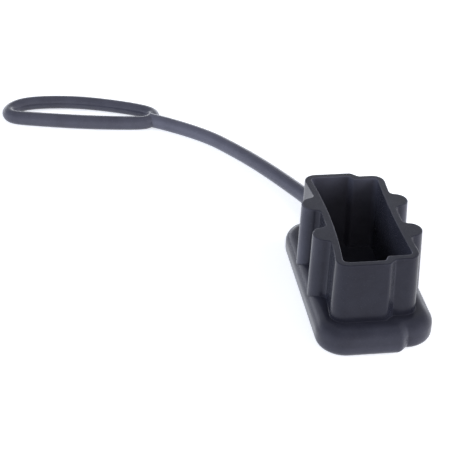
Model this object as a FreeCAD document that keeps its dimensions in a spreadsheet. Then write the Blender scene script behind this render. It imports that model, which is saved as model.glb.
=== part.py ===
# Dust cap for a two-pole battery connector, moulded in rubber as one piece.
# A ribbed, waisted cup stands mouth up on a thick flange. A round tether leaves the
# middle of the flange's back edge and ends in an oval loop for the cable.
# Frame: Z up, origin at the centre of the flange's underside, Y along the cup,
# with the tether on the +Y side. Lengths are in millimetres, angles in degrees.
import FreeCAD, Part
import Sketcher
import math
import os

node_name = "dust_cap"
doc = FreeCAD.newDocument("connector_dust_cap")

# Driving dimensions: name, value, what it is
dimensions = [
    ("cavity_width", 16.0, "cavity width at its corners, measured at the mouth"),
    ("cavity_length", 37.8, "cavity length in its long lobe, at the mouth"),
    ("step_depth", 1.7, "how much shorter the short lobe is at each end"),
    ("step_place", 2.2, "distance of the step from the middle of the cavity"),
    ("step_angle", 45.0, "slope of the step against the end wall"),
    ("waist_left", 1.1, "inward bow of the left long wall"),
    ("waist_right", 0.6, "inward bow of the right long wall"),
    ("wall", 1.6, "wall of the cup at its rim"),
    ("draft", 1.6, "draft of the cup's outside and of the ribs"),
    ("cap_height", 21.3, "underside to rim"),
    ("floor", 2.4, "underside to the bottom of the cavity"),
    ("flange_thickness", 6.8, "thickness of the flange"),
    ("flange_margin", 4.63, "flange edge beyond the middle of the cup's sides and ends"),
    ("flange_corner", 6.6, "corner radius of the flange"),
    ("flange_short_run", 0.15, "straight run between the flange's step and its corner"),
    ("flange_top_round", 2.9, "rounding of the flange's upper edge"),
    ("flange_bottom_round", 2.2, "rounding of the flange's lower edge"),
    ("cavity_corner", 1.2, "corner radius of the cavity"),
    ("cavity_step_round", 0.8, "rounding of the step inside"),
    ("cup_step_round", 1.2, "rounding of the step's outer edge"),
    ("flange_step_round", 1.8, "rounding of the step in the flange"),
    ("crease_round", 0.7, "rounding in the hollow corner of the cup's step"),
    ("flange_crease_round", 0.3, "rounding in the hollow corner of the flange's step"),
    ("rib_spacing", 13.4, "from rib to rib along the cup"),
    ("rib_radius", 2.9, "radius of a rib's nose at the rim"),
    ("rib_inset_left", 0.78, "nose of a left rib inside the flange's edge, at the rim"),
    ("rib_inset_right", 1.03, "nose of a right rib inside the flange's edge, at the rim"),
    ("rib_root_round", 0.9, "rounding where a rib meets the wall"),
    ("loop_cord", 3.8, "thickness of the loop's cord"),
    ("tether_cord", 3.6, "thickness of the tether"),
    ("tether_anchor", 3.0, "length of tether inside the flange"),
    ("tether_run", 4.4, "straight run where the tether leaves the flange"),
    ("bend_1_radius", 31.6, "bend of the tether near the cap"),
    ("bend_1_turn", 26.7, "angle of the bend near the cap"),
    ("middle_run", 22.0, "straight run between the bends"),
    ("bend_2_radius", 69.9, "bend of the tether near the loop"),
    ("bend_2_turn", 32.3, "angle of the bend near the loop"),
    ("loop_length", 45.1, "overall length of the loop"),
    ("loop_near_radius", 4.1, "centre line radius of the loop's end at the tether"),
    ("loop_far_radius", 4.9, "centre line radius of the loop's far end"),
    ("loop_back_radius", 52.1, "centre line radius of the loop's bowed side"),
    ("loop_tilt", 18.5, "turn of the loop's axis from the tether's end"),
]

sheet = doc.addObject("Spreadsheet::Sheet", "Sizes")
for row, (alias, value, meaning) in enumerate(dimensions, start=1):
    sheet.set(f"A{row}", meaning)
    sheet.set(f"B{row}", str(value))
    sheet.setAlias(f"B{row}", alias)
doc.recompute()


class Size:
    """A number together with the sheet expression that it comes from."""

    def __init__(self, number, text):
        self.number = number
        self.text = text

    def _join(self, other, sign, number):
        text = other.text if isinstance(other, Size) else repr(other)
        return Size(number, f"({self.text} {sign} {text})")

    def __add__(self, other):
        return self._join(other, "+", self.number + plain(other))

    def __sub__(self, other):
        return self._join(other, "-", self.number - plain(other))

    def __mul__(self, other):
        return self._join(other, "*", self.number * plain(other))

    def __truediv__(self, other):
        return self._join(other, "/", self.number / plain(other))

    def __neg__(self):
        return Size(-self.number, f"(-1 * {self.text})")


def plain(value):
    return value.number if isinstance(value, Size) else value


def size(alias):
    return Size(float(getattr(sheet, alias)), f"{sheet.Name}.{alias}")


def sine(angle):
    return Size(math.sin(math.radians(angle.number)), f"sin({angle.text} * 1 deg)")


def cosine(angle):
    return Size(math.cos(math.radians(angle.number)), f"cos({angle.text} * 1 deg)")


def bind(item, path, value, unit="mm"):
    item.setExpression(path, f"{value.text} * 1 {unit}")


def new_body(name):
    item = doc.addObject("PartDesign::Body", name)
    item.Label = name
    return item


def origin_plane(owner, role):
    return next(feature for feature in owner.Origin.OriginFeatures if feature.Role == role)


body = new_body(node_name)
cup_body = new_body("ribbed_cup")
origin = (-1, 1)
x_axis = -1
y_axis = -2
sharp_from = 20.0


def new_sketch(owner, name, height=None):
    """A sketch parallel to a body's XY plane, at a height that follows the sheet."""
    sketch = owner.newObject("Sketcher::SketchObject", name)
    sketch.AttachmentSupport = [(origin_plane(owner, "XY_Plane"), "")]
    sketch.MapMode = "FlatFace"
    if height is not None:
        base = FreeCAD.Vector(0, 0, height.number)
        sketch.AttachmentOffset = FreeCAD.Placement(base, FreeCAD.Rotation())
        bind(sketch, "AttachmentOffset.Base.z", height)
    return sketch


def fix(sketch, kind, *terms, value=None, unit="mm"):
    """Adds a constraint, and ties its value to the sheet where it has one."""
    if value is None:
        return sketch.addConstraint(Sketcher.Constraint(kind, *terms))
    number = math.radians(value.number) if unit == "deg" else value.number
    index = sketch.addConstraint(Sketcher.Constraint(kind, *terms, number))
    bind(sketch, f"Constraints[{index}]", value, unit)
    return index


def add_line(sketch, start, end):
    """Adds a line and returns its index with the marks of its first and last point."""
    line = Part.LineSegment(FreeCAD.Vector(*start, 0), FreeCAD.Vector(*end, 0))
    return sketch.addGeometry(line, False), 1, 2


def add_arc(sketch, centre, start, end, left_turn=True):
    """Adds an arc travelled from start to end, turning left or right."""
    first, last = (start, end) if left_turn else (end, start)
    angles = [math.atan2(y - centre[1], x - centre[0]) for x, y in (first, last)]
    circle = Part.Circle(FreeCAD.Vector(*centre, 0), FreeCAD.Vector(0, 0, 1), math.dist(centre, start))
    index = sketch.addGeometry(Part.ArcOfCircle(circle, *angles), False)
    return (index, 1, 2) if left_turn else (index, 2, 1)


def join_tangent(sketch, chain, closed):
    followers = chain[1:] + chain[:1] if closed else chain[1:]
    for (index, _, last), (next_index, first, _) in zip(chain, followers):
        fix(sketch, "Tangent", index, last, next_index, first)


def equal_radii(sketch, arcs, value):
    fix(sketch, "Radius", arcs[0][0], value=value)
    for arc in arcs[1:]:
        fix(sketch, "Equal", arcs[0][0], arc[0])


def side_edge(waist, offset):
    """Distance from the middle plane to the middle of a long side, at an offset from the cavity."""
    return size("cavity_width") / 2 - waist + offset


def bow_radius(waist):
    half = size("cavity_length") / 2
    return (half * half + waist * waist) / (waist * 2)


def cavity_ramp(offset):
    """Distance from the middle to the step's ramp, at an offset from the cavity."""
    slope = size("step_angle")
    mid_step = size("cavity_length") / 2 - size("step_depth") / 2
    return size("step_place") * sine(slope) + mid_step * cosine(slope) + offset


def flange_ramp(offset, corner, hollow_step):
    """Distance from the middle to the flange's ramp, which ends a short run before the corner."""
    slope = size("step_angle")
    half_short = size("cavity_length") / 2 + offset - size("step_depth")
    half_turn = (-cosine(slope) + 1) / sine(slope)
    corner_start = side_edge(size("waist_right"), offset) - corner
    foot = corner_start - size("flange_short_run") - hollow_step * half_turn
    return foot * sine(slope) + half_short * cosine(slope)


def stepped_outline(sketch, offset, ramp_gap, corner, outer_step, hollow_step, waisted):
    """Draws the cap's plan outline, at an offset from the cavity's mouth.

    The outline is long on the left and short on the right, with a sloped step between
    at both ends, and its long sides are straight or bow inwards.
    """
    half_long = size("cavity_length") / 2 + offset
    half_short = half_long - size("step_depth")
    half_width = size("cavity_width") / 2
    slope = size("step_angle")

    # Number forms of the sizes, for the first position of each line and arc
    a, b, c = half_long.number, half_short.number, corner.number
    run = math.radians(slope.number)
    tangent = math.tan(run / 2)
    long_end = (ramp_gap.number - a * math.cos(run)) / math.sin(run)
    short_end = (ramp_gap.number - b * math.cos(run)) / math.sin(run)
    r, s = outer_step.number, hollow_step.number

    def side(waist, sign):
        """Centre, radius and corner points of one bowed side; sign is -1 on the left."""
        radius = bow_radius(waist)
        middle = half_width - waist + radius
        outline_radius = radius - offset
        y = a - c if sign < 0 else b - c
        x = middle.number - math.sqrt((outline_radius.number + c) ** 2 - y ** 2)
        share = outline_radius.number / (outline_radius.number + c)
        touch = (middle.number + (x - middle.number) * share, y * share)
        return middle, outline_radius, (sign * x, y), (sign * touch[0], touch[1])

    if waisted:
        left_middle, left_radius, left_corner, left_touch = side(size("waist_left"), -1)
        right_middle, right_radius, right_corner, right_touch = side(size("waist_right"), 1)
    else:
        left_edge = side_edge(size("waist_left"), offset)
        right_edge = side_edge(size("waist_right"), offset)
        left_corner = (c - left_edge.number, a - c)
        left_touch = (-left_edge.number, a - c)
        right_corner = (right_edge.number - c, b - c)
        right_touch = (right_edge.number, b - c)

    def flip(point):
        return point[0], -point[1]

    ramp_low = (long_end + r * tangent * math.cos(run), -a + r * tangent * math.sin(run))
    ramp_high = (short_end - s * tangent * math.cos(run), -b - s * tangent * math.sin(run))
    outer_end = (long_end - r * tangent, -a)
    outer_centre = (outer_end[0], r - a)
    hollow_start = (short_end + s * tangent, -b)
    hollow_centre = (hollow_start[0], -b - s)
    front_long = add_line(sketch, (left_corner[0], -a), outer_end)
    front_outer = add_arc(sketch, outer_centre, outer_end, ramp_low)
    front_ramp = add_line(sketch, ramp_low, ramp_high)
    front_hollow = add_arc(sketch, hollow_centre, ramp_high, hollow_start, left_turn=False)
    front_short = add_line(sketch, hollow_start, (right_corner[0], -b))
    front_right = add_arc(sketch, flip(right_corner), (right_corner[0], -b), flip(right_touch))
    if waisted:
        centre = (right_middle.number, 0)
        right_side = add_arc(sketch, centre, flip(right_touch), right_touch, left_turn=False)
    else:
        right_side = add_line(sketch, flip(right_touch), right_touch)
    back_right = add_arc(sketch, right_corner, right_touch, (right_corner[0], b))
    back_short = add_line(sketch, (right_corner[0], b), flip(hollow_start))
    back_hollow = add_arc(sketch, flip(hollow_centre), flip(hollow_start), flip(ramp_high), left_turn=False)
    back_ramp = add_line(sketch, flip(ramp_high), flip(ramp_low))
    back_outer = add_arc(sketch, flip(outer_centre), flip(ramp_low), flip(outer_end))
    back_long = add_line(sketch, flip(outer_end), (left_corner[0], a))
    back_left = add_arc(sketch, left_corner, (left_corner[0], a), left_touch)
    if waisted:
        centre = (-left_middle.number, 0)
        left_side = add_arc(sketch, centre, left_touch, flip(left_touch), left_turn=False)
    else:
        left_side = add_line(sketch, left_touch, flip(left_touch))
    front_left = add_arc(sketch, flip(left_corner), flip(left_touch), (left_corner[0], -a))

    chain = [front_long, front_outer, front_ramp, front_hollow, front_short, front_right,
             right_side, back_right, back_short, back_hollow, back_ramp, back_outer,
             back_long, back_left, left_side, front_left]
    join_tangent(sketch, chain, closed=True)
    for line in (front_long, front_short, back_short, back_long):
        fix(sketch, "Horizontal", line[0])
    fix(sketch, "DistanceY", front_long[0], 1, *origin, value=half_long)
    fix(sketch, "DistanceY", front_short[0], 1, *origin, value=half_short)
    fix(sketch, "DistanceY", *origin, back_short[0], 1, value=half_short)
    fix(sketch, "DistanceY", *origin, back_long[0], 1, value=half_long)
    equal_radii(sketch, (front_left, front_right, back_right, back_left), corner)
    equal_radii(sketch, (front_outer, back_outer), outer_step)
    equal_radii(sketch, (front_hollow, back_hollow), hollow_step)
    fix(sketch, "Angle", front_ramp[0], value=slope, unit="deg")
    fix(sketch, "Angle", back_ramp[0], value=-slope + 180, unit="deg")
    fix(sketch, "Distance", *origin, front_ramp[0], value=ramp_gap)
    fix(sketch, "Distance", *origin, back_ramp[0], value=ramp_gap)
    if waisted:
        fix(sketch, "PointOnObject", right_side[0], 3, x_axis)
        fix(sketch, "PointOnObject", left_side[0], 3, x_axis)
        fix(sketch, "Radius", right_side[0], value=right_radius)
        fix(sketch, "Radius", left_side[0], value=left_radius)
        fix(sketch, "DistanceX", *origin, right_side[0], 3, value=right_middle)
        fix(sketch, "DistanceX", left_side[0], 3, *origin, value=left_middle)
    else:
        fix(sketch, "Vertical", right_side[0])
        fix(sketch, "Vertical", left_side[0])
        fix(sketch, "DistanceX", *origin, right_side[0], 1, value=right_edge)
        fix(sketch, "DistanceX", left_side[0], 1, *origin, value=left_edge)


def crease_angle(shape, edge):
    """Angle in degrees between the two faces that meet at the middle of an edge."""
    first, last = edge.ParameterRange
    middle = edge.valueAt((first + last) / 2)
    faces = shape.ancestorsOfType(edge, Part.Face)
    if len(faces) < 2:
        return 0.0
    normals = [face.normalAt(*face.Surface.parameter(middle)) for face in faces]
    return math.degrees(normals[0].getAngle(normals[1]))


def creases(shape, low, high):
    """Names of the sharp edges whose middle lies between two heights."""
    names = []
    for number, edge in enumerate(shape.Edges, start=1):
        first, last = edge.ParameterRange
        height = edge.valueAt((first + last) / 2).z
        if low <= height <= high and crease_angle(shape, edge) > sharp_from:
            names.append(f"Edge{number}")
    return names


def add_fillet(owner, name, base, names, radius):
    if not names:
        raise RuntimeError(f"{name}: no edges found")
    item = owner.newObject("PartDesign::Fillet", name)
    item.Base = (base, names)
    item.Radius = radius.number
    bind(item, "Radius", radius)
    doc.recompute()
    return item


# Flange: a thick plate with rounded edges
wall = size("wall")
rim_height = size("cap_height")
flange_offset = wall + size("flange_margin")
flange_outline = new_sketch(body, "flange_outline")
flange_corner, flange_crease = size("flange_corner"), size("flange_crease_round")
step_gap = flange_ramp(flange_offset, flange_corner, flange_crease)
stepped_outline(flange_outline, flange_offset, step_gap, flange_corner,
                size("flange_step_round"), flange_crease, waisted=False)
flange = body.newObject("PartDesign::Pad", "flange")
flange.Profile = flange_outline
bind(flange, "Length", size("flange_thickness"))
doc.recompute()
flange_top = size("flange_thickness").number
near = 0.01
top_edges = creases(flange.Shape, flange_top - near, flange_top + near)
flange_top_edge = add_fillet(body, "flange_top_edge", flange, top_edges, size("flange_top_round"))
low_edges = creases(flange_top_edge.Shape, -near, near)
add_fillet(body, "flange_low_edge", flange_top_edge, low_edges, size("flange_bottom_round"))

# Cup: drawn at the rim and drafted outwards down into the flange
cup_depth = rim_height - size("flange_thickness") / 2
cup_outline = new_sketch(cup_body, "cup_outline", rim_height)
stepped_outline(cup_outline, wall, cavity_ramp(wall), size("cavity_corner") + wall,
                size("cup_step_round"), size("crease_round"), waisted=True)
cup = cup_body.newObject("PartDesign::Pad", "cup")
cup.Profile = cup_outline
cup.Reversed = True
bind(cup, "Length", cup_depth)
bind(cup, "TaperAngle", size("draft"), "deg")
doc.recompute()

# Ribs: a round-nosed bar across the cup gives a rib on each side, and a mirror the second pair
rib_outline = new_sketch(cup_body, "rib_outline", rim_height)
nose = size("rib_radius")
right_place = side_edge(size("waist_right"), flange_offset) - size("rib_inset_right") - nose
left_place = side_edge(size("waist_left"), flange_offset) - size("rib_inset_left") - nose
rib_place = size("rib_spacing") / 2
left, right = -left_place.number, right_place.number
y, r = rib_place.number, nose.number
front_line = add_line(rib_outline, (left, y - r), (right, y - r))
right_nose = add_arc(rib_outline, (right, y), (right, y - r), (right, y + r))
back_line = add_line(rib_outline, (right, y + r), (left, y + r))
left_nose = add_arc(rib_outline, (left, y), (left, y + r), (left, y - r))
join_tangent(rib_outline, [front_line, right_nose, back_line, left_nose], closed=True)
fix(rib_outline, "Horizontal", front_line[0])
equal_radii(rib_outline, (right_nose, left_nose), nose)
fix(rib_outline, "DistanceY", *origin, right_nose[0], 3, value=rib_place)
fix(rib_outline, "DistanceX", *origin, right_nose[0], 3, value=right_place)
fix(rib_outline, "DistanceX", left_nose[0], 3, *origin, value=left_place)
rib = cup_body.newObject("PartDesign::Pad", "rib")
rib.Profile = rib_outline
rib.Reversed = True
bind(rib, "Length", cup_depth)
bind(rib, "TaperAngle", size("draft"), "deg")
doc.recompute()
ribs = cup_body.newObject("PartDesign::Mirrored", "ribs")
ribs.Originals = [rib]
ribs.MirrorPlane = (origin_plane(cup_body, "XZ_Plane"), [""])
cup_body.Tip = ribs
doc.recompute()

# Soft roots, where the ribs grow out of the wall
rim = rim_height.number
root_edges = creases(ribs.Shape, rim - cup_depth.number + near, rim - near)
add_fillet(cup_body, "rib_roots", ribs, root_edges, size("rib_root_round"))

# The ribbed cup grows out of the flange as one moulding
moulding = body.newObject("PartDesign::Boolean", "moulding")
moulding.Type = "Fuse"
moulding.setObjects([cup_body])
doc.recompute()

# Cavity: straight-walled, so that it grips the connector's housing all the way down
cavity_outline = new_sketch(body, "cavity_outline", rim_height)
mouth = Size(0, "0")
stepped_outline(cavity_outline, mouth, cavity_ramp(mouth), size("cavity_corner"),
                size("cavity_step_round"), size("crease_round"), waisted=True)
cavity = body.newObject("PartDesign::Pocket", "cavity")
cavity.Profile = cavity_outline
bind(cavity, "Length", rim_height - size("floor"))
doc.recompute()

# Tether: a round cord from inside the flange, in two straight runs and two tangent bends
cord_height = size("loop_cord") / 2
flange_back = size("cavity_length") / 2 + flange_offset
path_start = flange_back - size("tether_anchor")
run_end = flange_back + size("tether_run")
bend_1, bend_2 = size("bend_1_radius"), size("bend_2_radius")
middle_run = size("middle_run")
heading_1 = size("bend_1_turn")
heading_2 = heading_1 + size("bend_2_turn")
bend_1_x = bend_1 * (cosine(heading_1) - 1)
bend_1_y = run_end + bend_1 * sine(heading_1)
middle_x = bend_1_x - middle_run * sine(heading_1)
middle_y = bend_1_y + middle_run * cosine(heading_1)
tether_end_x = middle_x + bend_2 * (cosine(heading_2) - cosine(heading_1))
tether_end_y = middle_y + bend_2 * (sine(heading_2) - sine(heading_1))
first_end = (0, run_end.number)
bend_end = (bend_1_x.number, bend_1_y.number)
middle_end = (middle_x.number, middle_y.number)
tether_end = (tether_end_x.number, tether_end_y.number)
turn_1 = math.radians(heading_1.number)
bend_2_centre = (middle_end[0] - bend_2.number * math.cos(turn_1),
                 middle_end[1] - bend_2.number * math.sin(turn_1))
tether_path = new_sketch(body, "tether_path", cord_height)
first_line = add_line(tether_path, (0, path_start.number), first_end)
first_bend = add_arc(tether_path, (-bend_1.number, run_end.number), first_end, bend_end)
middle_line = add_line(tether_path, bend_end, middle_end)
second_bend = add_arc(tether_path, bend_2_centre, middle_end, tether_end)
join_tangent(tether_path, [first_line, first_bend, middle_line, second_bend], closed=False)
fix(tether_path, "PointOnObject", first_line[0], 1, y_axis)
fix(tether_path, "Vertical", first_line[0])
fix(tether_path, "DistanceY", *origin, first_line[0], 1, value=path_start)
fix(tether_path, "DistanceY", *origin, first_line[0], 2, value=run_end)
fix(tether_path, "Radius", first_bend[0], value=bend_1)
fix(tether_path, "Angle", first_bend[0], value=size("bend_1_turn"), unit="deg")
fix(tether_path, "Distance", middle_line[0], value=middle_run)
fix(tether_path, "Radius", second_bend[0], value=bend_2)
fix(tether_path, "Angle", second_bend[0], value=size("bend_2_turn"), unit="deg")


def sweep_cord(name, path, thickness):
    """Sweeps a round section along a path sketch, starting at the path's first edge."""
    section = body.newObject("Sketcher::SketchObject", f"{name}_section")
    section.AttachmentSupport = [(path, "Edge1")]
    section.MapMode = "NormalToEdge"
    circle = Part.Circle(FreeCAD.Vector(0, 0, 0), FreeCAD.Vector(0, 0, 1), thickness.number / 2)
    index = section.addGeometry(circle, False)
    fix(section, "Coincident", index, 3, *origin)
    fix(section, "Diameter", index, value=thickness)
    doc.recompute()
    cord = body.newObject("PartDesign::AdditivePipe", name)
    cord.Profile = section
    cord.Spine = (path, [f"Edge{number}" for number in range(1, len(path.Shape.Edges) + 1)])
    doc.recompute()
    return cord


doc.recompute()
tether = sweep_cord("tether", tether_path, size("tether_cord"))

# Loop: an oval of two end arcs, a straight and a bowed side, that starts at the tether's end
loop_path = new_sketch(body, "loop_path", cord_height)
tilt = size("loop_tilt")
loop_angle = heading_2 + tilt + 90
turned = FreeCAD.Rotation(FreeCAD.Vector(0, 0, 1), loop_angle.number)
loop_place = FreeCAD.Vector(*tether_end, cord_height.number)
loop_path.AttachmentOffset = FreeCAD.Placement(loop_place, turned)
bind(loop_path, "AttachmentOffset.Base.x", tether_end_x)
bind(loop_path, "AttachmentOffset.Base.y", tether_end_y)
bind(loop_path, "AttachmentOffset.Rotation.Angle", loop_angle, "deg")
near_radius = size("loop_near_radius")
far_radius = size("loop_far_radius")
back_radius = size("loop_back_radius")
loop_reach = size("loop_length") - size("loop_cord") - near_radius - far_radius
near_x = near_radius * cosine(tilt)
near_y = near_radius * sine(tilt)
near_centre = FreeCAD.Vector(near_x.number, -near_y.number, 0)
far_centre = near_centre + FreeCAD.Vector(loop_reach.number, 0, 0)

# The straight side touches both end arcs on the front, the bowed one holds both from behind
lean = math.asin((far_radius.number - near_radius.number) / loop_reach.number)
front_way = FreeCAD.Vector(-math.sin(lean), math.cos(lean), 0)
near_front = near_centre + front_way * near_radius.number
far_front = far_centre + front_way * far_radius.number
to_near = back_radius.number - near_radius.number
to_far = back_radius.number - far_radius.number
along = (to_near ** 2 - to_far ** 2 + loop_reach.number ** 2) / (2 * loop_reach.number)
back_centre = near_centre + FreeCAD.Vector(along, math.sqrt(to_near ** 2 - along ** 2), 0)
near_back = near_centre + (near_centre - back_centre).normalize() * near_radius.number
far_back = far_centre + (far_centre - back_centre).normalize() * far_radius.number
near_end = add_arc(loop_path, near_centre[:2], near_front[:2], near_back[:2])
back_side = add_arc(loop_path, back_centre[:2], near_back[:2], far_back[:2])
far_end = add_arc(loop_path, far_centre[:2], far_back[:2], far_front[:2])
front_side = add_line(loop_path, far_front[:2], near_front[:2])
join_tangent(loop_path, [near_end, back_side, far_end, front_side], closed=True)
fix(loop_path, "DistanceX", *origin, near_end[0], 3, value=near_x)
fix(loop_path, "DistanceY", near_end[0], 3, *origin, value=near_y)
fix(loop_path, "DistanceX", near_end[0], 3, far_end[0], 3, value=loop_reach)
fix(loop_path, "Horizontal", near_end[0], 3, far_end[0], 3)
fix(loop_path, "Radius", near_end[0], value=near_radius)
fix(loop_path, "Radius", back_side[0], value=back_radius)
fix(loop_path, "Radius", far_end[0], value=far_radius)
doc.recompute()
loop = sweep_cord("loop", loop_path, size("loop_cord"))

# Checks: every object computed, sketches fixed, cords of the right volume, one closed solid
for item in doc.Objects:
    if "Invalid" in item.State or "Error" in item.State:
        raise RuntimeError(f"{item.Name} failed: {item.State}")
    if hasattr(item, "Shape") and item.Shape.isNull() and item.isDerivedFrom("PartDesign::Feature"):
        raise RuntimeError(f"{item.Name} has no shape")
for sketch in doc.findObjects("Sketcher::SketchObject"):
    if not sketch.FullyConstrained:
        raise RuntimeError(f"{sketch.Name} is not fully constrained")
volume_slack = 0.01
for cord, path, alias in ((tether, tether_path, "tether_cord"), (loop, loop_path, "loop_cord")):
    expected = path.Shape.Length * math.pi * size(alias).number ** 2 / 4
    if abs(cord.AddSubShape.Volume / expected - 1) > volume_slack:
        raise RuntimeError(f"{cord.Name} is not a cord of the expected volume")
shape = body.Shape
if not shape.isValid() or len(shape.Solids) != 1:
    raise RuntimeError("the cap is not one valid solid")
print("tether path", round(tether_path.Shape.Length, 1), "mm, loop", round(loop_path.Shape.Length, 1), "mm")
print("volume", round(shape.Volume, 1), "mm3")

os.makedirs("parts", exist_ok=True)
shape.exportStep(f"parts/{body.Label}.step")
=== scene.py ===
# Connector dust cap: a ribbed rubber cup on a flange, with a round tether and a cable loop
import math
import bmesh
import bpy
import numpy as np
from mathutils import Matrix, Vector


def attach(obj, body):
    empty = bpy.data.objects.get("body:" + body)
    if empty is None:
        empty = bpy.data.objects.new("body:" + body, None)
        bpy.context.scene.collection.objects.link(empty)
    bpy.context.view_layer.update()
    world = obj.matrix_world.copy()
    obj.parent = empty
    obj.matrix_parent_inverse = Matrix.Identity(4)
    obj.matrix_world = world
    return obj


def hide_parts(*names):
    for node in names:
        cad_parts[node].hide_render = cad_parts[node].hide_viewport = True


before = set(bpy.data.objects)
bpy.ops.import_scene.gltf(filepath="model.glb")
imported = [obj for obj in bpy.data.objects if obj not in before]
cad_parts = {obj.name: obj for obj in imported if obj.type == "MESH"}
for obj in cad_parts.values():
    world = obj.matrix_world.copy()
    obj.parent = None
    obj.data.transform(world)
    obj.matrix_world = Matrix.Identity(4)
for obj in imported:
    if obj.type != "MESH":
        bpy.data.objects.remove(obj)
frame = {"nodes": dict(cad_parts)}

scene = bpy.context.scene
scene.view_settings.view_transform = "Standard"
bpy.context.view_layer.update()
mm = 0.001
print("frame loaded:", ", ".join(frame["nodes"]))

# Camera where the photograph was taken from, worked out for a 452 x 452 picture
photoCamera = {
    "place": (-71.47, -267.06, 180.90),  # millimetres
    "heading": 8.153,  # degrees from +Y towards +X
    "dip": 30.75,
    "roll": 1.243,
    "sensor": 36,  # millimetres, like the lens
    "lens": 111.51,
    "shift": (0.0234, 0.0028),
    "clipStart": 0.01,
}
cameraData = bpy.data.cameras.new("photoCamera")
cameraData.sensor_width = photoCamera["sensor"]
cameraData.lens = photoCamera["lens"]
cameraData.shift_x, cameraData.shift_y = photoCamera["shift"]
cameraData.clip_start = photoCamera["clipStart"]
cameraObject = bpy.data.objects.new("photoCamera", cameraData)
scene.collection.objects.link(cameraObject)
scene.camera = cameraObject
cameraTurn = (Matrix.Rotation(math.radians(-photoCamera["heading"]), 4, "Z")
              @ Matrix.Rotation(math.radians(90 - photoCamera["dip"]), 4, "X")
              @ Matrix.Rotation(math.radians(photoCamera["roll"]), 4, "Z"))
cameraObject.matrix_world = Matrix.Translation(Vector(photoCamera["place"]) * mm) @ cameraTurn
print("camera set")


def linearColour(hexCode):  # a written sRGB colour as the linear one that sockets take
    parts = [int(hexCode[i:i + 2], 16) / 255 for i in (1, 3, 5)]
    return tuple(c / 12.92 if c <= 0.04045 else ((c + 0.055) / 1.055) ** 2.4 for c in parts) + (1,)


def addNode(tree, kind, at, settings=None, inputs=None):
    node = tree.nodes.new(kind)
    node.location = at
    for name, value in (settings or {}).items():
        setattr(node, name, value)
    for name, value in (inputs or {}).items():
        if isinstance(value, bpy.types.NodeSocket):
            tree.links.new(value, node.inputs[name])
        else:
            node.inputs[name].default_value = value
    return node


def newMaterial(name):
    material = bpy.data.materials.new(name)
    material.use_nodes = True
    material.node_tree.nodes.clear()
    return material, material.node_tree


def showsBackground(tree, at):  # 1 for rays that should see a white background
    path = addNode(tree, "ShaderNodeLightPath", at)
    seen = addNode(tree, "ShaderNodeMath", (at[0] + 180, at[1]), {"operation": "MAXIMUM"},
                   {0: path.outputs["Is Camera Ray"], 1: path.outputs["Is Glossy Ray"]})
    return addNode(tree, "ShaderNodeMath", (at[0] + 360, at[1]), {"operation": "MAXIMUM"},
                   {0: seen.outputs[0], 1: path.outputs["Is Transmission Ray"]}).outputs[0]


# Floor, light and white surroundings
studio = {
    "floorColour": "#f2f4f8",
    "coolWhite": "#f5f8fe",  # tint of the surroundings
    "floorLift": 0.7,  # added for the camera, so that the lit floor reads as white
    "floorSize": 1.6,
    # light from all round, at eye level and overhead
    "fill": {"colour": "#ffffff", "low": 0.45, "high": 0.06},
    # white surroundings in reflections, darker overhead: from and to are heights of a unit direction
    "wall": {"low": 1.12, "high": 0.4, "from": 0.15, "to": 0.7},
    # the lit backdrop in reflections, low down behind the object
    "backdrop": {"glow": 2.0, "behindFrom": 0.3, "fullBelow": 0.05, "goneAbove": 0.4},
    "lamps": {
        "front": {"place": (0.10, -1.05, 0.42), "aim": (0, 0.02, 0), "size": 1.2, "watts": 4.4,
                  "tint": "#fff5e9"},
        "left": {"place": (-0.95, -0.15, 0.35), "aim": (-0.02, 0.03, 0), "size": 0.8, "watts": 7,
                 "tint": "#eef3ff"},
        "right": {"place": (0.85, -0.30, 0.32), "aim": (0, 0.02, 0), "size": 0.8, "watts": 8,
                  "tint": "#fdfbff"},
    },
}
floorMaterial, floorTree = newMaterial("paleFloor")
floorPaint = addNode(floorTree, "ShaderNodeBsdfDiffuse", (0, 0), None,
                     {"Color": linearColour(studio["floorColour"])})
liftStrength = addNode(floorTree, "ShaderNodeMath", (-180, -160), {"operation": "MULTIPLY"},
                       {0: showsBackground(floorTree, (-760, -160)), 1: studio["floorLift"]})
floorLift = addNode(floorTree, "ShaderNodeEmission", (0, -160), None,
                    {"Color": linearColour(studio["coolWhite"]), "Strength": liftStrength.outputs[0]})
floorSum = addNode(floorTree, "ShaderNodeAddShader", (220, 0), None,
                   {0: floorPaint.outputs[0], 1: floorLift.outputs[0]})
addNode(floorTree, "ShaderNodeOutputMaterial", (420, 0), None, {"Surface": floorSum.outputs[0]})
floorMesh = bpy.data.meshes.new("floor")
half = studio["floorSize"] / 2
floorMesh.from_pydata([(-half, -half, 0), (half, -half, 0), (half, half, 0), (-half, half, 0)],
                      [], [(0, 1, 2, 3)])
floorMesh.materials.append(floorMaterial)
floor = bpy.data.objects.new("floor", floorMesh)
scene.collection.objects.link(floor)

for name, spec in studio["lamps"].items():
    lampData = bpy.data.lights.new(name + "Light", "AREA")
    lampData.shape = "DISK"
    lampData.size = spec["size"]
    lampData.energy = spec["watts"]
    lampData.color = linearColour(spec["tint"])[:3]
    lamp = bpy.data.objects.new(name + "Light", lampData)
    aim = Vector(spec["aim"]) - Vector(spec["place"])
    lampTurn = aim.to_track_quat("-Z", "Y").to_matrix().to_4x4()
    lamp.matrix_world = Matrix.Translation(spec["place"]) @ lampTurn
    lamp.visible_glossy = False  # reflections show the white surroundings, not the lamps
    scene.collection.objects.link(lamp)

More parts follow.
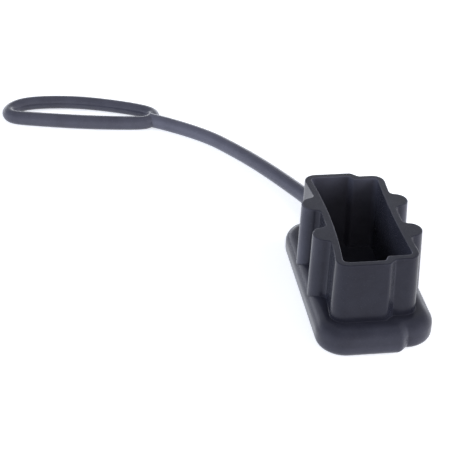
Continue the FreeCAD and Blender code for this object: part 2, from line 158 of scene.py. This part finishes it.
fill, wall, backdrop = studio["fill"], studio["wall"], studio["backdrop"]
world = bpy.data.worlds.new("whiteStudio")
scene.world = world
world.use_nodes = True
worldTree = world.node_tree
worldTree.nodes.clear()
skyward = addNode(worldTree, "ShaderNodeTexCoord", (-760, 300))
direction = addNode(worldTree, "ShaderNodeSeparateXYZ", (-580, 300), None,
                    {0: skyward.outputs["Generated"]})
fillLevel = addNode(worldTree, "ShaderNodeMapRange", (-400, 300), None,
                    {"Value": direction.outputs["Z"], "To Min": fill["low"], "To Max": fill["high"]})
fillLight = addNode(worldTree, "ShaderNodeBackground", (0, 0), None,
                    {"Color": linearColour(fill["colour"]), "Strength": fillLevel.outputs["Result"]})
wallLevel = addNode(worldTree, "ShaderNodeMapRange", (-400, -300), None,
                    {"Value": direction.outputs["Z"], "From Min": wall["from"], "From Max": wall["to"],
                     "To Min": wall["low"], "To Max": wall["high"]})
behind = addNode(worldTree, "ShaderNodeMapRange", (-400, -560), None,
                 {"Value": direction.outputs["Y"], "From Min": backdrop["behindFrom"],
                  "To Max": backdrop["glow"]})
lowDown = addNode(worldTree, "ShaderNodeMapRange", (-400, -820), None,
                  {"Value": direction.outputs["Z"], "From Min": backdrop["goneAbove"],
                   "From Max": backdrop["fullBelow"]})
wallSum = addNode(worldTree, "ShaderNodeMath", (-200, -400), {"operation": "MULTIPLY_ADD"},
                  {0: behind.outputs["Result"], 1: lowDown.outputs["Result"],
                   2: wallLevel.outputs["Result"]})
whiteWall = addNode(worldTree, "ShaderNodeBackground", (0, -140), None,
                    {"Color": linearColour(studio["coolWhite"]), "Strength": wallSum.outputs[0]})
worldMix = addNode(worldTree, "ShaderNodeMixShader", (220, 0), None,
                   {0: showsBackground(worldTree, (-560, 100)), 1: fillLight.outputs[0],
                    2: whiteWall.outputs[0]})
addNode(worldTree, "ShaderNodeOutputWorld", (420, 0), None, {"Surface": worldMix.outputs[0]})
print("floor and light set")

# Moulded black rubber: a semi-gloss, cool grey-black, with the mould's fine grain and faint bloom
rubber = {
    "deep": "#1f202a",
    "bloom": "#292b36",  # the paler film that rubber gets
    "bloomSize": 7.0,  # millimetres across one cloud
    "bloomDetail": 4, "bloomBreakup": 0.6,
    "bloomFrom": 0.35, "bloomTo": 0.75,  # levels of the clouds
    "paleLightAndWear": "#5e606f",  # paler grey, mixed in as painted light where more light falls, and as wear on the rim
    "patchFrom": 0.35, "patchTo": 0.65,  # the paler share is uneven, by the same clouds
    "patchLow": 0.86, "patchHigh": 1.16,
    "grainSize": 0.22,  # millimetres: coarser than a real mould's, so that it shows close up
    "grainDepth": 0.006,
    "grainDetail": 2, "grainStrength": 0.8,
    "grainFrom": 0.3, "grainTo": 0.7,  # levels of the grain
    "roughLow": 0.18, "roughHigh": 0.28,
    "index": 1.5,
    "gloss": 0.26,
    "handledGloss": 0.45,  # hands polish the cords
    "sheen": "#f4f3ff",  # cool tint of its reflections
}


def mixRubber(name, gloss):
    material, tree = newMaterial(name)
    place = addNode(tree, "ShaderNodeTexCoord", (-1200, 0)).outputs["Object"]
    clouds = addNode(tree, "ShaderNodeTexNoise", (-960, 200), None,
                     {"Vector": place, "Scale": 1 / (rubber["bloomSize"] * mm),
                      "Detail": rubber["bloomDetail"], "Roughness": rubber["bloomBreakup"]})
    grain = addNode(tree, "ShaderNodeTexNoise", (-960, -180), None,
                    {"Vector": place, "Scale": 1 / (rubber["grainSize"] * mm),
                     "Detail": rubber["grainDetail"]})
    tint = addNode(tree, "ShaderNodeValToRGB", (-720, 240), None, {"Fac": clouds.outputs["Fac"]})
    stops = ((rubber["bloomFrom"], rubber["deep"]), (rubber["bloomTo"], rubber["bloom"]))
    for stop, (level, colour) in zip(tint.color_ramp.elements, stops):
        stop.position = level
        stop.color = linearColour(colour)
    roughness = addNode(tree, "ShaderNodeMapRange", (-720, -40), None,
                        {"Value": grain.outputs["Fac"],
                         "From Min": rubber["grainFrom"], "From Max": rubber["grainTo"],
                         "To Min": rubber["roughLow"], "To Max": rubber["roughHigh"]})
    pores = addNode(tree, "ShaderNodeBump", (-720, -300), None,
                    {"Height": grain.outputs["Fac"], "Distance": rubber["grainDepth"] * mm,
                     "Strength": rubber["grainStrength"]})
    # share of the paler grey: painted light on the pieces, and wear on the cup's rim
    paleShareAttribute = addNode(tree, "ShaderNodeAttribute", (-960, 480), {"attribute_name": "paleLightAndWear"})
    patches = addNode(tree, "ShaderNodeMapRange", (-720, 520), None,
                      {"Value": clouds.outputs["Fac"],
                       "From Min": rubber["patchFrom"], "From Max": rubber["patchTo"],
                       "To Min": rubber["patchLow"], "To Max": rubber["patchHigh"]})
    uneven = addNode(tree, "ShaderNodeMath", (-560, 480), {"operation": "MULTIPLY", "use_clamp": True},
                     {0: paleShareAttribute.outputs["Fac"], 1: patches.outputs["Result"]})
    # sockets 0, 6 and 7 are the share and the two colours, and output 2 is the mixed colour
    paleMix = addNode(tree, "ShaderNodeMix", (-380, 300), {"data_type": "RGBA"},
                   {0: uneven.outputs[0], 6: tint.outputs["Color"], 7: linearColour(rubber["paleLightAndWear"])})
    surface = addNode(tree, "ShaderNodeBsdfPrincipled", (-400, 0), None,
                      {"Base Color": paleMix.outputs[2], "Roughness": roughness.outputs["Result"],
                       "Normal": pores.outputs["Normal"], "Specular IOR Level": gloss,
                       "Specular Tint": linearColour(rubber["sheen"]), "IOR": rubber["index"]})
    addNode(tree, "ShaderNodeOutputMaterial", (-100, 0), None, {"Surface": surface.outputs[0]})
    return material


cupRubber = mixRubber("mouldedBlackRubber", rubber["gloss"])
cordRubber = mixRubber("handledBlackRubber", rubber["handledGloss"])
print("rubber mixed")

# Tether and cable loop: splines through the mould's parting plane, swept by one node tree
cords = {
    "tether": 3.8,  # typical thickness, in millimetres
    "loop": 3.8,
    "flash": 0.03,  # ridge that the two mould halves leave along the sides
    "planeSlack": 1e-6,  # metres off the parting plane that count as on it
    "paleLightAndWear": {"tether": 1.0, "loop": 0.53},  # share of the paler grey: painted light, for the cords being lit more than the cup
    "nearCupShare": 0.6,  # of that share, on the tether beside the cup, where it is painted darker
    "darkerTo": 50, "lighterFrom": 80,  # millimetres along y, over which the tether is painted paler towards the back
    "step": 0.45,  # millimetres between rings
    "sides": 48,
    "order": {"tether": 3, "loop": 4}, "resolution": 16,  # of the splines
    # routes: x, y, thickness there, and how far the cord is off the floor
    "tetherRoute": [(0, 22.1, 4.15, 0), (0, 36.5, 4.1, 0), (-8.6, 54.9, 4.0, 0), (-15.8, 68.1, 3.9, 0),
                    (-26.7, 83.6, 3.85, 0), (-39.6, 92.1, 4.0, 0)],
    "loopRoute": [(-42.8, 90.2, 3.95, 0), (-39.9, 90.8, 3.9, 0), (-38.1, 94.2, 3.8, 0),
                  (-39.2, 97.4, 3.75, 0.05), (-47.5, 101.7, 3.75, 0), (-60.0, 106.0, 3.8, 0.15),
                  (-73.0, 106.25, 3.85, 0.35), (-77.9, 104.4, 3.85, 0.1), (-80.0, 101.0, 3.85, 0),
                  (-79.0, 97.5, 3.95, 0), (-74.5, 96.2, 4.05, 0), (-58.8, 92.2, 4.1, 0)],
}


def cordTree():
    tree = bpy.data.node_groups.new("mouldedCord", "GeometryNodeTree")
    tree.is_modifier = True
    face = tree.interface
    face.new_socket("Geometry", in_out="INPUT", socket_type="NodeSocketGeometry")
    for name in ("Diameter", "Step", "Flash"):
        face.new_socket(name, in_out="INPUT", socket_type="NodeSocketFloat")
    face.new_socket("Sides", in_out="INPUT", socket_type="NodeSocketInt")
    face.new_socket("Rubber", in_out="INPUT", socket_type="NodeSocketMaterial")
    face.new_socket("Geometry", in_out="OUTPUT", socket_type="NodeSocketGeometry")
    given = addNode(tree, "NodeGroupInput", (-1100, 0)).outputs
    radius = addNode(tree, "ShaderNodeMath", (-900, -200), {"operation": "MULTIPLY"},
                     {0: given["Diameter"], 1: 0.5})
    bare = addNode(tree, "ShaderNodeMath", (-720, -200), {"operation": "SUBTRACT"},
                   {0: radius.outputs[0], 1: given["Flash"]})
    ring = addNode(tree, "GeometryNodeCurvePrimitiveCircle", (-540, -200), {"mode": "RADIUS"},
                   {"Resolution": given["Sides"], "Radius": bare.outputs[0]})
    # the ridge stands on the two points of the ring that lie in the parting plane
    spot = addNode(tree, "GeometryNodeInputPosition", (-900, -420))
    spotParts = addNode(tree, "ShaderNodeSeparateXYZ", (-720, -420), None, {0: spot.outputs[0]})
    near = addNode(tree, "ShaderNodeMath", (-540, -420), {"operation": "COMPARE"},
                   {0: spotParts.outputs["Y"], 1: 0.0, 2: cords["planeSlack"]})
    grow = addNode(tree, "ShaderNodeMath", (-360, -420), {"operation": "MULTIPLY"},
                   {0: near.outputs[0], 1: given["Flash"]})
    outward = addNode(tree, "ShaderNodeVectorMath", (-540, -600), {"operation": "NORMALIZE"},
                      {0: spot.outputs[0]})
    ridge = addNode(tree, "ShaderNodeVectorMath", (-180, -420), {"operation": "SCALE"},
                    {0: outward.outputs[0], "Scale": grow.outputs[0]})
    section = addNode(tree, "GeometryNodeSetPosition", (0, -200), None,
                      {"Geometry": ring.outputs[0], "Offset": ridge.outputs[0]})
    even = addNode(tree, "GeometryNodeResampleCurve", (-540, 100), {"mode": "LENGTH"},
                   {"Curve": given["Geometry"], "Length": given["Step"]})
    upright = addNode(tree, "GeometryNodeSetCurveNormal", (-360, 100), {"mode": "Z_UP"},
                      {"Curve": even.outputs[0]})
    local = addNode(tree, "GeometryNodeInputRadius", (0, 260))  # the route's own thickness, as a share
    tube = addNode(tree, "GeometryNodeCurveToMesh", (180, 100), None,
                   {"Curve": upright.outputs[0], "Profile Curve": section.outputs[0],
                    "Scale": local.outputs[0], "Fill Caps": True})
    smooth = addNode(tree, "GeometryNodeSetShadeSmooth", (360, 100), None, {"Geometry": tube.outputs[0]})
    real = addNode(tree, "GeometryNodeRealizeInstances", (540, 100), None,
                   {"Geometry": smooth.outputs[0]})
    dressed = addNode(tree, "GeometryNodeSetMaterial", (720, 100), None,
                      {"Geometry": real.outputs[0], "Material": given["Rubber"]})
    addNode(tree, "NodeGroupOutput", (900, 100), None, {0: dressed.outputs[0]})
    return tree


def writePaleLightAndWear(mesh, values):  # share of the paler grey at each point: mostly painted light, with wear on the cup's rim
    attribute = mesh.attributes.new("paleLightAndWear", "FLOAT", "POINT")
    attribute.data.foreach_set("value", values.astype(np.float32))


def splineRoute(part, closed):
    points = cords[part + "Route"]
    curve = bpy.data.curves.new(part + "Route", "CURVE")
    curve.dimensions = "3D"
    spline = curve.splines.new("NURBS")
    spline.points.add(len(points) - 1)
    for spot, (x, y, thickness, lift) in zip(spline.points, points):
        spot.co = (x * mm, y * mm, (thickness / 2 + lift) * mm, 1)
        spot.radius = thickness / cords[part]
    spline.use_cyclic_u = closed
    spline.order_u = cords["order"][part]
    spline.use_endpoint_u = not closed
    spline.resolution_u = cords["resolution"]
    return curve


def routePath(curve):  # centre line of a route
    bare = bpy.data.objects.new("bareRoute", curve)
    line = bpy.data.meshes.new_from_object(bare)
    path = [tuple(v.co) for v in line.vertices]
    bpy.data.meshes.remove(line)
    bpy.data.objects.remove(bare)
    return path


def sweptCord(name, curve, part, tree):
    route = bpy.data.objects.new(name + "Route", curve)
    scene.collection.objects.link(route)
    sweep = route.modifiers.new("sweep", "NODES")
    sweep.node_group = tree
    values = {"Diameter": cords[part] * mm, "Step": cords["step"] * mm, "Flash": cords["flash"] * mm,
              "Sides": cords["sides"], "Rubber": cordRubber}
    for item in tree.interface.items_tree:
        if item.in_out == "INPUT" and item.name in values:
            sweep[item.identifier] = values[item.name]
    evaluated = route.evaluated_get(bpy.context.evaluated_depsgraph_get())
    mesh = bpy.data.meshes.new_from_object(evaluated)
    bpy.data.objects.remove(route)
    mesh.name = name
    along = np.array([v.co.y for v in mesh.vertices]) / mm
    # painted light: the tether is painted paler towards the back, where more light falls
    lighterBack = np.interp(along, (cords["darkerTo"], cords["lighterFrom"]), (cords["nearCupShare"], 1))
    writePaleLightAndWear(mesh, cords["paleLightAndWear"][part] * lighterBack)
    piece = bpy.data.objects.new(name, mesh)
    scene.collection.objects.link(piece)
    return piece


sweepTree = cordTree()
tetherSpline = splineRoute("tether", False)
tetherPath = routePath(tetherSpline)
tether = sweptCord("tether", tetherSpline, "tether", sweepTree)
cableLoop = sweptCord("cableLoop", splineRoute("loop", True), "loop", sweepTree)
print("cords swept:", len(tether.data.polygons), "and", len(cableLoop.data.polygons), "faces")

# Cup and flange: rings of equal count, from the underside up the wall and down into the cavity
cup = {  # millimetres and degrees
    "halfWidth": 8.0, "halfLength": 18.9,
    "stepDepth": 1.7, "stepPlace": 2.2, "stepSlope": 45,
    "cavityStepPlace": 1.75, "cavityStepSlope": 62,  # steeper inside
    "waist": {"left": 1.1, "right": 0.6},
    "wall": 1.6, "draft": 1.6, "height": 21.3, "floor": 2.4,
    "cavityCorner": 1.2, "cavityStep": 0.4, "wallStep": 1.2, "crease": 0.7,
    "lipOutside": 0.22, "lipInside": 0.18, "footRound": 0.12, "floorRound": 0.06,
    "footLeast": 0.1, "footShare": 0.3,  # the foot is smaller where the flange leaves little room
    "flangeThickness": 6.8, "flangeMargin": 4.63, "flangeCorner": 6.6, "flangeStep": 1.8,
    "flangeCrease": 0.3, "flangeShortRun": 0.15, "topRound": 2.9, "lowRound": 2.2,
    "leastStep": {"flange": 0.1, "cavity": 0.05},  # rounding that a step keeps on inset outlines
    "ribPlace": 6.7, "ribRadius": 2.9, "ribReach": {"left": 12.35, "right": 12.6}, "ribRoot": 1.4,
    # shares of the paler grey: painted light on the flange's edge (more low down), the ribs (more at the
    # back) and in the cavity; a little paler at the foot, and wear on the rim
    "paleLightAndWear": {"lowEdge": 0.32, "edge": 0.18, "foot": 0.05, "nearRib": 0.18, "farRib": 0.56,
               "rim": 0.06, "mouth": 0.6, "inside": 0.45},
    "ribPaleFrom": 0.4,  # out from the wall, where the ribs' painted light starts
    "endLightFrom": 14, "endLightRun": 3,  # along y: painted light on the mouth's end walls
    "endLightFade": 2,  # gone at half the cavity's depth
    "liftAtMouth": 0.4,  # share of the cavity's painted lift that is also at the mouth
    "edgeLightPower": 6,  # the top of the flange keeps its edge's painted light almost to the foot
    # points along one ring
    "counts": {"groove": 6, "root": 7, "nose": 20, "end": 8, "corner": 10, "long": 12, "step": 6,
               "ramp": 3, "hollow": 5, "short": 9},
    "evened": {"cavity": 1.0, "flange": 0.5},  # how evenly a plain side spaces them
    # rings of each rounded stretch, and places of the other rings
    "rings": {"lowEdge": 9, "top": 16, "foot": 8, "lip": 6, "floor": 7},
    "undersideInsets": (3.5, 0.15), "edgeShare": 0.6, "topPower": 2,
    "wallShares": (0.02, 0.15, 0.32, 0.5, 0.68, 0.85, 0.98),
    "rimShares": (0.06, 0.5, 0.94),
    "cavityShares": (0.03, 0.2, 0.4, 0.6, 0.8, 0.97),
    "floorInset": 0.15,
    "passes": {"root": 4, "meet": 8, "foot": 6},  # the first two settle, the last one smooths
    "leastSquare": 1e-12,  # keeps a doubled point of an outline from dividing by nought
    "weld": 1e-7,  # metres
}
counts = cup["counts"]
ringCounts = cup["rings"]
paleLightAndWear = cup["paleLightAndWear"]
tip = cup["ribPlace"]
height, cupWall = cup["height"], cup["wall"]
wallSlope = math.radians(cup["stepSlope"])
cavitySlope = math.radians(cup["cavityStepSlope"])
flangeOffset = cupWall + cup["flangeMargin"]


def straight(a, b, count):  # points from a to just before b
    share = np.arange(count)[:, None] / count
    return np.array(a) + (np.array(b) - np.array(a)) * share


def turned(centre, a, b, count, left):  # the same on an arc, to the left or to the right
    centre = np.array(centre)
    first = math.atan2(a[1] - centre[1], a[0] - centre[0])
    sweep = math.atan2(b[1] - centre[1], b[0] - centre[0]) - first
    sweep = sweep % math.tau if left else -((-sweep) % math.tau)
    angles = first + sweep * np.arange(count) / count
    radius = math.dist(centre, a)
    return centre + radius * np.stack([np.cos(angles), np.sin(angles)], axis=1)


def sideBow(side):  # radius of a bowed long side, and how far out its centre is
    waist = cup["waist"][side]
    bow = (cup["halfLength"] ** 2 + waist ** 2) / (2 * waist)
    return bow, cup["halfWidth"] - waist + bow


def sideLine(side, offset, bowed):  # distance of a long side from the middle, at any y
    if not bowed:
        return lambda y: cup["halfWidth"] - cup["waist"][side] + offset + 0 * y
    bow, middle = sideBow(side)
    return lambda y: middle - np.sqrt((bow - offset) ** 2 - y ** 2)


def cornerTouch(side, offset, corner, bowed):  # centre and side touch of an end corner, front end
    end = cup["halfLength"] + offset - (cup["stepDepth"] if side == "right" else 0)
    y = end - corner
    if not bowed:
        x = cup["halfWidth"] - cup["waist"][side] + offset
        return (x - corner, -y), (x, -y)
    bow, middle = sideBow(side)
    x = middle - math.sqrt((bow - offset + corner) ** 2 - y ** 2)
    share = (bow - offset) / (bow - offset + corner)
    return (x, -y), (middle + (x - middle) * share, -y * share)


def ribbedSide(side, offset):  # middle of the side to its front corner, round one rib
    line = sideLine(side, offset, True)
    nose = cup["ribRadius"] + (offset - cupWall)
    root = cup["ribRoot"]
    noseX = cup["ribReach"][side] - cup["ribRadius"]
    touch = cornerTouch(side, offset, cup["cavityCorner"] + offset, True)[1]

    def rootArc(sign):  # centre of the soft root and its touch points on the wall and the nose
        gap = nose + root
        for _ in range(cup["passes"]["root"]):
            x = float(line(np.array(tip + sign * gap))) + root
            gap = math.sqrt((nose + root) ** 2 - max(x - noseX, 0) ** 2)
        y = -(tip + sign * gap)
        wallTouch = (x - root, y)
        if x <= noseX:
            return (x, y), wallTouch, (x, -(tip + sign * nose))
        share = nose / (nose + root)
        return (x, y), wallTouch, (noseX + (x - noseX) * share, -tip + (y + tip) * share)

    nearCentre, nearWall, nearNose = rootArc(-1)
    farCentre, farWall, farNose = rootArc(1)
    grooveY = np.linspace(0, nearWall[1], counts["groove"] + 1)[:-1]
    endY = np.linspace(farWall[1], touch[1], counts["end"] + 1)[:-1]
    first = math.atan2(nearNose[1] + tip, max(nearNose[0] - noseX, 0))
    last = math.atan2(farNose[1] + tip, max(farNose[0] - noseX, 0))
    angles = np.linspace(first, last, counts["nose"] + 1)[:-1]
    nosePoints = np.stack([noseX + nose * np.cos(angles), -tip + nose * np.sin(angles)], axis=1)
    return np.concatenate([
        np.stack([line(grooveY), grooveY], axis=1),
        turned(nearCentre, nearWall, nearNose, counts["root"], True),
        nosePoints,
        turned(farCentre, farNose, farWall, counts["root"], True),
        np.stack([line(endY), endY], axis=1)])


def plainSide(side, offset, corner, bowed, stations):
    line = sideLine(side, offset, bowed)
    touch = cornerTouch(side, offset, corner, bowed)[1]
    endY = np.linspace(stations[-1], touch[1], counts["end"] + 1)[:-1]
    y = np.concatenate([stations[:-1], endY])
    return np.stack([line(y), y], axis=1)


def stepRamp(offset, place, slope):  # distance of a step's slope from the middle
    middle = cup["halfLength"] - cup["stepDepth"] / 2
    return place * math.sin(slope) + middle * math.cos(slope) + offset


def flangeRamp(inset):  # the flange's slope ends just before its corner
    edge = cup["halfWidth"] - cup["waist"]["right"] + flangeOffset
    bend = cup["flangeCrease"] * math.tan(wallSlope / 2)
    stop = edge - cup["flangeCorner"] - cup["flangeShortRun"] - bend
    short = cup["halfLength"] + flangeOffset - cup["stepDepth"]
    return stop * math.sin(wallSlope) + short * math.cos(wallSlope) - inset


# the stepped front end, from the left corner to the right one
def endRun(offset, gap, slope, corner, outer, hollow, bowed):
    a = cup["halfLength"] + offset
    b = a - cup["stepDepth"]
    longEnd = (gap - a * math.cos(slope)) / math.sin(slope)
    shortEnd = (gap - b * math.cos(slope)) / math.sin(slope)
    reach = math.tan(slope / 2)
    leftCentre, leftTouch = cornerTouch("left", offset, corner, bowed)
    rightCentre, rightTouch = cornerTouch("right", offset, corner, bowed)
    leftCentre, leftTouch = (-leftCentre[0], leftCentre[1]), (-leftTouch[0], leftTouch[1])
    frontLeft, frontRight = (leftCentre[0], -a), (rightCentre[0], -b)
    outerStart = (longEnd - outer * reach, -a)
    rampLow = (longEnd + outer * reach * math.cos(slope), -a + outer * reach * math.sin(slope))
    rampHigh = (shortEnd - hollow * reach * math.cos(slope), -b - hollow * reach * math.sin(slope))
    hollowEnd = (shortEnd + hollow * reach, -b)
    return np.concatenate([
        turned(leftCentre, leftTouch, frontLeft, counts["corner"], True),
        straight(frontLeft, outerStart, counts["long"]),
        turned((outerStart[0], outer - a), outerStart, rampLow, counts["step"], True),
        straight(rampLow, rampHigh, counts["ramp"]),
        turned((hollowEnd[0], -b - hollow), rampHigh, hollowEnd, counts["hollow"], False),
        straight(hollowEnd, frontRight, counts["short"]),
        turned(rightCentre, frontRight, rightTouch, counts["corner"], True),
        [rightTouch]])


def closedRing(left, front, right):  # front half, then the same half again behind the middle
    mirroredLeft = left * [-1, 1]
    halfRing = np.concatenate([mirroredLeft, front, right[::-1]])
    backHalf = halfRing[-2:0:-1] * [1, -1]
    return np.concatenate([halfRing, backHalf])


def plainRing(offset, gap, slope, corner, outer, hollow, bowed, stations):
    return closedRing(plainSide("left", offset, corner, bowed, stations["left"]),
                      endRun(offset, gap, slope, corner, outer, hollow, bowed),
                      plainSide("right", offset, corner, bowed, stations["right"]))


def wallRing(offset):
    return closedRing(ribbedSide("left", offset),
                      endRun(offset, stepRamp(offset, cup["stepPlace"], wallSlope), wallSlope,
                             cup["cavityCorner"] + offset, cup["wallStep"], cup["crease"], True),
                      ribbedSide("right", offset))


def outwardOf(ring):
    along = np.roll(ring, -1, axis=0) - np.roll(ring, 1, axis=0)
    normal = np.stack([along[:, 1], -along[:, 0]], axis=1)
    return normal / np.linalg.norm(normal, axis=1)[:, None]


def edgeDistance(points, ring):  # plan distance of points from a closed outline
    a = ring[None]
    d = np.roll(ring, -1, axis=0)[None] - a
    p = points[:, None]
    squares = np.maximum((d * d).sum(2), cup["leastSquare"])
    t = np.clip(((p - a) * d).sum(2) / squares, 0, 1)
    return np.linalg.norm(p - a - t[..., None] * d, axis=2).min(1)


def flangeTop(distance):  # height of the flange's upper face, by distance from its edge
    r = cup["topRound"]
    inset = np.clip(r - distance, 0, r)
    return cup["flangeThickness"] - r + np.sqrt(r * r - inset * inset)


tanDraft = math.tan(math.radians(cup["draft"]))
rimRing = wallRing(cupWall)
lowRing = wallRing(cupWall + height * tanDraft)  # the drafted wall, carried down to the floor


def wallAt(z):  # points of the outer wall, each at its own height
    return lowRing + (rimRing - lowRing) * (np.asarray(z) / height)[..., None]


def stationsFor(side, evened):  # a plain side takes the rib's stations, evened out along the nose
    start = counts["groove"] + counts["root"]
    stop = start + counts["nose"]
    y = ribbedSide(side, cupWall)[:stop + counts["root"] + 1, 1]
    even = y.copy()
    even[start:stop + 1] = np.linspace(y[start], y[stop], counts["nose"] + 1)
    return even * evened + y * (1 - evened)


cavityStations = {side: stationsFor(side, cup["evened"]["cavity"]) for side in ("left", "right")}
flangeStations = {side: stationsFor(side, cup["evened"]["flange"]) for side in ("left", "right")}


def flangeRing(inset):
    outer = max(cup["flangeStep"] - inset, cup["leastStep"]["flange"])
    return plainRing(flangeOffset - inset, flangeRamp(inset), wallSlope, cup["flangeCorner"] - inset,
                     outer, cup["flangeCrease"] + inset, False, flangeStations)


def cavityRing(grow):
    outer = max(cup["cavityStep"] + grow, cup["leastStep"]["cavity"])
    return plainRing(grow, stepRamp(grow, cup["cavityStepPlace"], cavitySlope), cavitySlope,
                     cup["cavityCorner"] + grow, outer, cup["crease"] - grow, True, cavityStations)


rings, ringPaleShares = [], []


def addRing(points, z, paleMix=0.0):
    rings.append(np.column_stack([points, np.broadcast_to(np.asarray(z, float), len(points))]))
    ringPaleShares.append(np.broadcast_to(np.asarray(paleMix, float), len(points)))


def quarterTurn(count):  # sine and cosine of the rings round an edge
    return [(math.sin(angle), math.cos(angle)) for angle in np.radians(np.linspace(0, 90, count))]


def softBend(a, b, c, k):  # from a to c, drawn towards b
    return a * (1 - k) ** 2 + b * 2 * k * (1 - k) + c * k * k


def ribPaintedLight(points):  # painted light: the rib noses painted paler, those at the back more, for the light that falls there
    inner = cup["halfWidth"] + cupWall + cup["ribPaleFrom"]
    outer = cup["ribReach"]["left"]
    share = np.clip(0.5 + points[:, 1] / (2 * tip), 0, 1)
    most = paleLightAndWear["nearRib"] + (paleLightAndWear["farRib"] - paleLightAndWear["nearRib"]) * share
    return most * np.clip((np.abs(points[:, 0]) - inner) / (outer - inner), 0, 1)


def cavityPaintedLight(points, share):  # painted light: the mouth's end walls painted paler, fading with depth, and the cavity lifted paler, more deeply in
    endWallLight = paleLightAndWear["mouth"] * np.clip((np.abs(points[:, 1]) - cup["endLightFrom"]) / cup["endLightRun"], 0, 1)
    cavityLift = paleLightAndWear["inside"] * (cup["liftAtMouth"] + (1 - cup["liftAtMouth"]) * share)
    return np.maximum(endWallLight * max(1 - cup["endLightFade"] * share, 0), cavityLift)


# underside and edge of the flange
edgeRing = flangeRing(0)
low = cup["lowRound"]
for inset in cup["undersideInsets"]:
    addRing(flangeRing(low + inset), 0)
# painted light: the flange's edge is painted paler, more so on its lower round, for the light from below
for sine, cosine in quarterTurn(ringCounts["lowEdge"]):
    addRing(flangeRing(low * (1 - sine)), low * (1 - cosine), paleLightAndWear["lowEdge"])
shoulder = cup["flangeThickness"] - cup["topRound"]
addRing(edgeRing, low + cup["edgeShare"] * (shoulder - low), paleLightAndWear["edge"])

# where the drafted wall meets the flange, and the soft foot round it
meet = np.full(len(edgeRing), cup["flangeThickness"])
for _ in range(cup["passes"]["meet"]):
    meet = flangeTop(edgeDistance(wallAt(meet), edgeRing))
meetRing = wallAt(meet)
room = edgeDistance(meetRing, edgeRing)
foot = np.clip(cup["footShare"] * room, cup["footLeast"], cup["footRound"])
for _ in range(cup["passes"]["foot"]):
    foot = (np.roll(foot, 1) + foot + np.roll(foot, -1)) / 3
footRing = meetRing + outwardOf(meetRing) * foot[:, None]
for step in np.linspace(0, 1, ringCounts["top"] + 1)[:-1]:
    across = edgeRing + (footRing - edgeRing) * step ** cup["topPower"]
    # painted light: the flange top keeps the edge's paler share almost to the foot
    addRing(across, flangeTop(edgeDistance(across, edgeRing)),
            paleLightAndWear["edge"] + (paleLightAndWear["foot"] - paleLightAndWear["edge"]) * step ** cup["edgeLightPower"])
footHeight = flangeTop(edgeDistance(footRing, edgeRing))
rise = meet + foot
riseRing = wallAt(rise)
for k in np.linspace(0, 1, ringCounts["foot"]):
    addRing(softBend(footRing, meetRing, riseRing, k), softBend(footHeight, meet, rise, k),
            paleLightAndWear["foot"] * (1 - k))

# wall, rim and cavity
lip = cup["lipOutside"]
# painted light: the rib noses are painted paler up the wall, those at the back more
for share in cup["wallShares"]:
    z = rise + (height - lip - meet - foot) * share
    addRing(wallAt(z), z, ribPaintedLight(rimRing))
rimOutward = outwardOf(rimRing)
for sine, cosine in quarterTurn(ringCounts["lip"]):
    addRing(rimRing - rimOutward * lip * (1 - cosine), height - lip * (1 - sine),
            ribPaintedLight(rimRing) + paleLightAndWear["rim"])
lip = cup["lipInside"]
innerLip, outerLip = cavityRing(lip), rings[-1][:, :2]
for share in cup["rimShares"]:
    addRing(outerLip + (innerLip - outerLip) * share, height, paleLightAndWear["rim"])
# painted light from here to the floor: the cavity is painted paler, its end walls near the mouth most
for sine, cosine in quarterTurn(ringCounts["lip"]):
    inner = cavityRing(lip * (1 - sine))
    addRing(inner, height - lip * (1 - cosine), cavityPaintedLight(inner, 0))
cavityWall = cavityRing(0)
cavityFoot = cup["floor"] + cup["floorRound"]
for share in cup["cavityShares"]:
    addRing(cavityWall, height - lip + (cavityFoot - height + lip) * share, cavityPaintedLight(cavityWall, share))
for sine, cosine in quarterTurn(ringCounts["floor"]):
    addRing(cavityRing(-cup["floorRound"] * (1 - cosine)), cavityFoot - cup["floorRound"] * sine,
            paleLightAndWear["inside"])
addRing(cavityRing(-cup["floorRound"] - cup["floorInset"]), cup["floor"], paleLightAndWear["inside"])

count = len(rings[0])
faces = []
for ring in range(len(rings) - 1):
    a, b = ring * count, (ring + 1) * count
    for i in range(count):
        j = (i + 1) % count
        faces.append((a + i, a + j, b + j, b + i))
faces.append(tuple(reversed(range(count))))  # underside
faces.append(tuple((len(rings) - 1) * count + i for i in range(count)))  # cavity floor
capMesh = bpy.data.meshes.new("ribbedCup")
capMesh.from_pydata((np.concatenate(rings) * mm).tolist(), [], faces)
writePaleLightAndWear(capMesh, np.concatenate(ringPaleShares))
build = bmesh.new()
build.from_mesh(capMesh)
bmesh.ops.remove_doubles(build, verts=build.verts, dist=cup["weld"])
bmesh.ops.recalc_face_normals(build, faces=build.faces)
build.to_mesh(capMesh)
build.free()
capMesh.shade_smooth()
capMesh.materials.append(cupRubber)
ribbedCup = bpy.data.objects.new("ribbedCup", capMesh)
scene.collection.objects.link(ribbedCup)
print("cup built:", len(rings), "rings of", count)

# Pieces ride on the one moulded body, and stand for it
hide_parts("dust_cap")
for piece in (ribbedCup, tether, cableLoop):
    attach(piece, "root")
